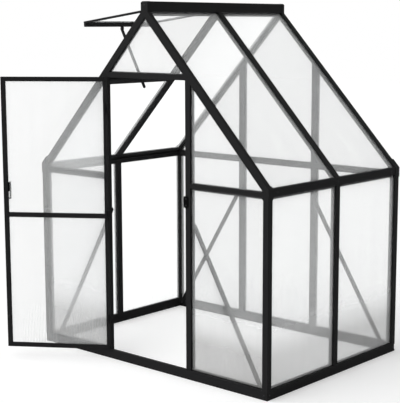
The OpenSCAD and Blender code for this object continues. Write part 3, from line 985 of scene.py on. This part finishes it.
class GREENHOUSE_OT_seals(bpy.types.Operator):
    """Run seals along the edges of the bars that meet a pane"""

    bl_idname = "greenhouse.seals"
    bl_label = "Seal the panes"

    def execute(self, context):
        rubber = rubber_finish("seal_rubber", context.scene.greenhouse_colours.rubber)
        tree, sockets = bead_tree()
        near = []
        for name in BAR_NODES:
            bm = welded(name)
            near += sharp_edges(bm.edges)
            bm.free()
        for body in ("frame", "door"):
            runs = []
            for name in PANE_NODES:
                if (name in DOOR_NODES) == (body == "door"):
                    for sheet in sheets_of(name):
                        runs += self.runs(sheet, near)
            points = [tuple(end) for run in runs for end in run]
            wire = bpy.data.meshes.new("seal_runs")
            wire.from_pydata(points, [(i, i + 1) for i in range(0, len(points), 2)], [])
            mesh = made_by_nodes(tree, sockets, {
                "Radius": context.scene.greenhouse_sizes.seal_radius,
                "Finish": rubber,
            }, wire)
            new_piece(body + "_seals", mesh, body)
        return {"FINISHED"}

    def runs(self, sheet, near):
        """The stretches that a pane's seals follow, on both of its faces."""
        inset = 1 * MM
        met = [sheet.within(ends, face, inset) for face in (-1, 1) for ends in near]
        return [run for run in met if run]


class GREENHOUSE_OT_catch(bpy.types.Operator):
    """Cover the door's catch and the face of its post with a moulded plate"""

    bl_idname = "greenhouse.catch"
    bl_label = "Cover the catch"

    def execute(self, context):
        sizes = context.scene.greenhouse_sizes
        low, high = solid_boxes("door_catch")[0]
        centre = Vector((low.x + sizes.catch_width / 2, low.y, (low.z + high.z) / 2))
        bm = bmesh.new()
        outline = rounded_outline(sizes.catch_width, high.z - low.z, high.x - low.x)
        plate = bm.faces.new([bm.verts.new(centre + Vector((x, 0, z))) for x, z in outline])
        raised = bmesh.ops.extrude_face_region(bm, geom=[plate], use_keep_orig=True)["geom"]
        front = [part for part in raised if isinstance(part, bmesh.types.BMVert)]
        bmesh.ops.translate(bm, verts=front, vec=(0, -sizes.catch_cover, 0))
        bmesh.ops.recalc_face_normals(bm, faces=bm.faces)
        mesh = bpy.data.meshes.new("catch_cover")
        bm.to_mesh(mesh)
        bm.free()
        mesh.materials.append(bpy.data.materials["moulded_fitting"])
        soften(new_piece("catch_cover", mesh, "frame"), sizes.edge_round)
        return {"FINISHED"}


class GREENHOUSE_OT_fasteners(bpy.types.Operator):
    """Fit the screws and nuts that hold the frame together"""

    bl_idname = "greenhouse.fasteners"
    bl_label = "Fit the fasteners"

    def execute(self, context):
        sizes = context.scene.greenhouse_sizes
        steel = steel_finish("blackened_steel", context.scene.greenhouse_colours.steel)
        screws = self.base_screws() + self.eave_screws() + self.ridge_screws()
        screws += self.hinge_screws() + self.catch_screws(sizes.catch_width, sizes.catch_cover)
        nuts = self.brace_nuts() + self.stay_nuts()
        self.fit("frame_screws", screw_tree(), screws, sizes.screw_radius, SCREW_HEIGHT, steel)
        self.fit("frame_nuts", nut_tree(), nuts, sizes.nut_radius, NUT_HEIGHT, steel)
        return {"FINISHED"}

    def fit(self, name, made, places, radius, height, finish):
        """Makes one piece of the shape that a tree puts on every place."""
        tree, sockets = made
        points = bpy.data.meshes.new(name)
        points.from_pydata([tuple(point) for point, facing in places], [], [])
        facings = points.attributes.new("facing", "FLOAT_VECTOR", "POINT")
        for item, (point, facing) in zip(facings.data, places):
            item.vector = facing
        values = {"Radius": radius, "Height": height, "Finish": finish}
        new_piece(name, made_by_nodes(tree, sockets, values, points), "frame")

    def base_screws(self):
        """One on each outer face beside each corner, in the hollow of the base rails."""
        low, high = solid_boxes("base_frame")[0]
        inset, hollow = BASE_SCREW_INSET, BASE_HOLLOW
        z = (low.z + high.z) / 2
        found = []
        for x in (-1, 1):
            for y in (-1, 1):
                found.append((Vector((x * (high.x - inset), y * (high.y - hollow), z)), (0, y, 0)))
                found.append((Vector((x * (high.x - hollow), y * (high.y - inset), z)), (x, 0, 0)))
        return found

    def eave_screws(self):
        """Three in the hollow of each eave rail."""
        found = []
        for node, side in (("eave_rail_left", -1), ("eave_rail_right", 1)):
            low, high = solid_boxes(node)[0]
            face = (high.x if side > 0 else -low.x) - EAVE_HOLLOW
            for share in EAVE_SCREW_SHARES:
                place = Vector((side * face, share * high.y, low.z + EAVE_SCREW_RISE))
                found.append((place, (side, 0, 0)))
        return found

    def ridge_screws(self):
        """One in each end of the ridge."""
        found = []
        for low, high in solid_boxes("ridge_ends"):
            side = -1 if low.y < 0 else 1
            face = low.y if side < 0 else high.y
            found.append((Vector((0, face, high.z - RIDGE_SCREW_DROP)), (0, side, 0)))
        return found

    def hinge_screws(self):
        """Two in each hinge plate on the door post."""
        inset = HINGE_SCREW_INSET
        return [
            (Vector((low.x + inset, high.y - HINGE_PLATE, z)), (0, -1, 0))
            for low, high in solid_boxes("hinge_brackets")
            for z in (low.z + inset, high.z - inset)
        ]

    def catch_screws(self, width, cover):
        """Two in the plate over the door's catch."""
        low, high = solid_boxes("door_catch")[0]
        heights = (low.z + CATCH_SCREW_INSET, high.z - CATCH_SCREW_INSET)
        return [(Vector((low.x + width / 2, low.y - cover, z)), (0, -1, 0)) for z in heights]

    def brace_nuts(self):
        """One in the middle of each round end of the braces."""
        half = BRACE_HALF
        found = []
        for node, inward in (("front_braces", 1), ("back_braces", -1)):
            for low, high in solid_boxes(node):
                side = 1 if low.x > 0 else -1
                top_x, foot_x = (low.x, high.x) if side > 0 else (high.x, low.x)
                face = low.y + BRACE_THICK if inward > 0 else high.y - BRACE_THICK
                found.append((Vector((top_x + side * half, face, high.z - half)), (0, inward, 0)))
                found.append((Vector((foot_x - side * half, face, low.z + half)), (0, inward, 0)))
        return found

    def stay_nuts(self):
        """One on the pin at the upper end of the vent's stay."""
        low, high = solid_boxes("vent_stay")[0]
        return [(Vector((low.x + STAY_HALF, low.y, high.z - STAY_HALF)), (0, -1, 0))]


class GREENHOUSE_OT_stage(bpy.types.Operator):
    """Set up the floor, the light and the camera"""

    bl_idname = "greenhouse.stage"
    bl_label = "Stage"

    def execute(self, context):
        scene = context.scene
        scene.view_settings.view_transform = "Standard"
        self.floor(scene)
        self.world(scene)
        self.lamps(scene)
        self.camera(scene)
        return {"FINISHED"}

    def floor(self, scene):
        """A plain pale square under the house."""
        sides = ((-1, -1), (1, -1), (1, 1), (-1, 1))
        mesh = bpy.data.meshes.new("floor")
        mesh.from_pydata([(x * FLOOR_HALF, y * FLOOR_HALF, 0) for x, y in sides], [], [(0, 1, 2, 3)])
        mesh.materials.append(floor_finish("pale_floor", scene.greenhouse_colours.floor, FLOOR_GLOW))
        floor = bpy.data.objects.new("floor", mesh)
        scene.collection.objects.link(floor)

    def world(self, scene):
        """Even white light, and plain white where the camera sees it."""
        world = bpy.data.worlds.new("studio")
        world.use_nodes = True
        scene.world = world
        tree = Tree(world.node_tree)
        sky = tree.node("ShaderNodeBackground", None, {
            "Color": rgba((1, 1, 1)),
            "Strength": WORLD_LIGHT + seen_directly(tree) * (1 - WORLD_LIGHT),
        })
        tree.node("ShaderNodeOutputWorld", None, {"Surface": sky})

    def lamps(self, scene):
        """One broad soft light from the front, a little to the left."""
        lamp = bpy.data.lights.new("soft_light", "SUN")
        lamp.angle = LIGHT_SPREAD
        lamp.energy = LIGHT_STRENGTH
        light = bpy.data.objects.new("soft_light", lamp)
        light.rotation_euler = Vector(LIGHT_FROM).to_track_quat("Z", "Y").to_euler()
        scene.collection.objects.link(light)

    def camera(self, scene):
        """The photograph's view: place, heading, tilt, roll and lens."""
        lens = bpy.data.cameras.new("camera")
        lens.sensor_fit = "VERTICAL"
        lens.sensor_height = 36.0
        lens.lens = CAMERA_LENS
        camera = bpy.data.objects.new("camera", lens)
        turned = Euler((CAMERA_TILT, 0, CAMERA_HEADING)).to_matrix()
        rolled = turned @ Matrix.Rotation(CAMERA_ROLL, 3, "Z")
        camera.matrix_world = Matrix.Translation(CAMERA_PLACE) @ rolled.to_4x4()
        scene.collection.objects.link(camera)
        scene.camera = camera


class GREENHOUSE_PT_panel(bpy.types.Panel):
    """Lists the greenhouse's steps and their settings"""

    bl_idname = "GREENHOUSE_PT_panel"
    bl_label = "Greenhouse"
    bl_space_type = "VIEW_3D"
    bl_region_type = "UI"
    bl_category = "Greenhouse"

    def draw(self, context):
        for operator in OPERATORS:
            self.layout.operator(operator.bl_idname)
        for settings in (context.scene.greenhouse_colours, context.scene.greenhouse_sizes):
            for name in settings.__annotations__:
                self.layout.prop(settings, name)


OPERATORS = (
    GREENHOUSE_OT_coat,
    GREENHOUSE_OT_panes,
    GREENHOUSE_OT_strips,
    GREENHOUSE_OT_seals,
    GREENHOUSE_OT_catch,
    GREENHOUSE_OT_fasteners,
    GREENHOUSE_OT_stage,
)
CLASSES = (GreenhouseColours, GreenhouseSizes, *OPERATORS, GREENHOUSE_PT_panel)


def register():
    for one in CLASSES:
        bpy.utils.register_class(one)
    bpy.types.Scene.greenhouse_colours = bpy.props.PointerProperty(type=GreenhouseColours)
    bpy.types.Scene.greenhouse_sizes = bpy.props.PointerProperty(type=GreenhouseSizes)


def unregister():
    del bpy.types.Scene.greenhouse_sizes
    del bpy.types.Scene.greenhouse_colours
    for one in reversed(CLASSES):
        bpy.utils.unregister_class(one)


def main():
    register()
    bpy.ops.greenhouse.coat()
    bpy.ops.greenhouse.panes()
    bpy.ops.greenhouse.strips()
    bpy.ops.greenhouse.seals()
    bpy.ops.greenhouse.catch()
    bpy.ops.greenhouse.fasteners()
    bpy.ops.greenhouse.stage()


if __name__ == "__main__":
    main()
